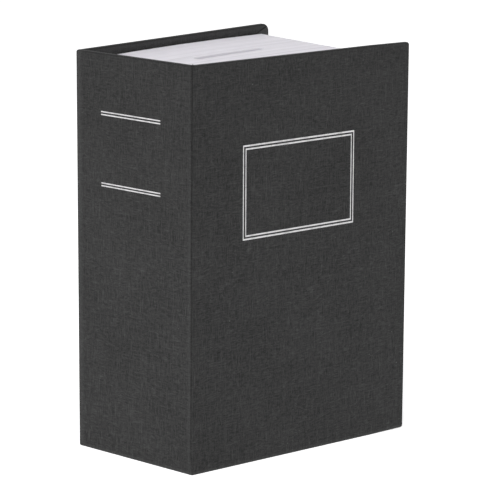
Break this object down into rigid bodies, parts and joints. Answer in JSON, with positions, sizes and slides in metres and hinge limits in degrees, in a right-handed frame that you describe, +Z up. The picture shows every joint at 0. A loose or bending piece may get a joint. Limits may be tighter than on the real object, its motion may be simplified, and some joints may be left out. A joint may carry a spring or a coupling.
{
  "type": "book diversion safe",
  "caption": "Small hollow book with a hinged cover, whose page block holds a steel strongbox with a cam-locked lid and a coin slot in its head.",
  "frame": {"origin": "middle of the foot of the standing book, on the floor, with its cover ajar", "axes": "+X from the spine to the fore edge, +Y from the front cover to the back cover, +Z up the spine from tail to head"},
  "size_m": [0.0794, 0.0568, 0.115],
  "materials": {
    "book_cloth": "linen-grained book cloth, dark grey",
    "greyboard": "raw greyboard, hidden inside the cloth",
    "endpaper": "matte uncoated paper",
    "page_plastic": "matte moulding with fine page lines",
    "box_steel": "satin powder coat",
    "plain_steel": "zinc plated",
    "lock_chrome": "polished plating"
  },
  "bodies": {
    "case": {"back_covering": "book_cloth", "back_board": "greyboard", "back_endpaper": "endpaper", "spine_covering": "book_cloth", "spine_board": "greyboard", "page_block": "page_plastic", "strongbox": "box_steel", "box_hinge_leaf": "plain_steel", "hinge_pin": "plain_steel"},
    "front_cover": {"front_covering": "book_cloth", "front_board": "greyboard", "front_endpaper": "endpaper"},
    "lid": {"lid": "box_steel", "lid_hinge_leaf": "plain_steel", "lock_housing": "lock_chrome", "lock_washer": "plain_steel", "lock_nut": "plain_steel"},
    "lock_core": {"lock_plug": "lock_chrome", "cam_stop_washer": "plain_steel", "lock_cam": "plain_steel", "cam_screw": "plain_steel"}
  },
  "joints": [
    {"name": "cover_hinge", "type": "hinge", "parent": "case", "child": "front_cover", "pos_m": [-0.03877, -0.0158, 0.0575], "axis": [0, 0, -1], "range_deg": [-8.6, 171.4]},
    {"name": "lid_hinge", "type": "hinge", "parent": "case", "child": "lid", "pos_m": [-0.03125, -0.01148, 0.0575], "axis": [0, 0, -1], "range_deg": [-5.02, 99.98]},
    {"name": "lock_turn", "type": "hinge", "parent": "lid", "child": "lock_core", "pos_m": [0.01156, -0.01047, 0.0575], "axis": [-0.0874, -0.9962, 0], "range_deg": [0, 90]}
  ],
  "couplings": [
    {"joint": "lid_hinge", "follows": "cover_hinge", "ratio": 0.58333}
  ]
}
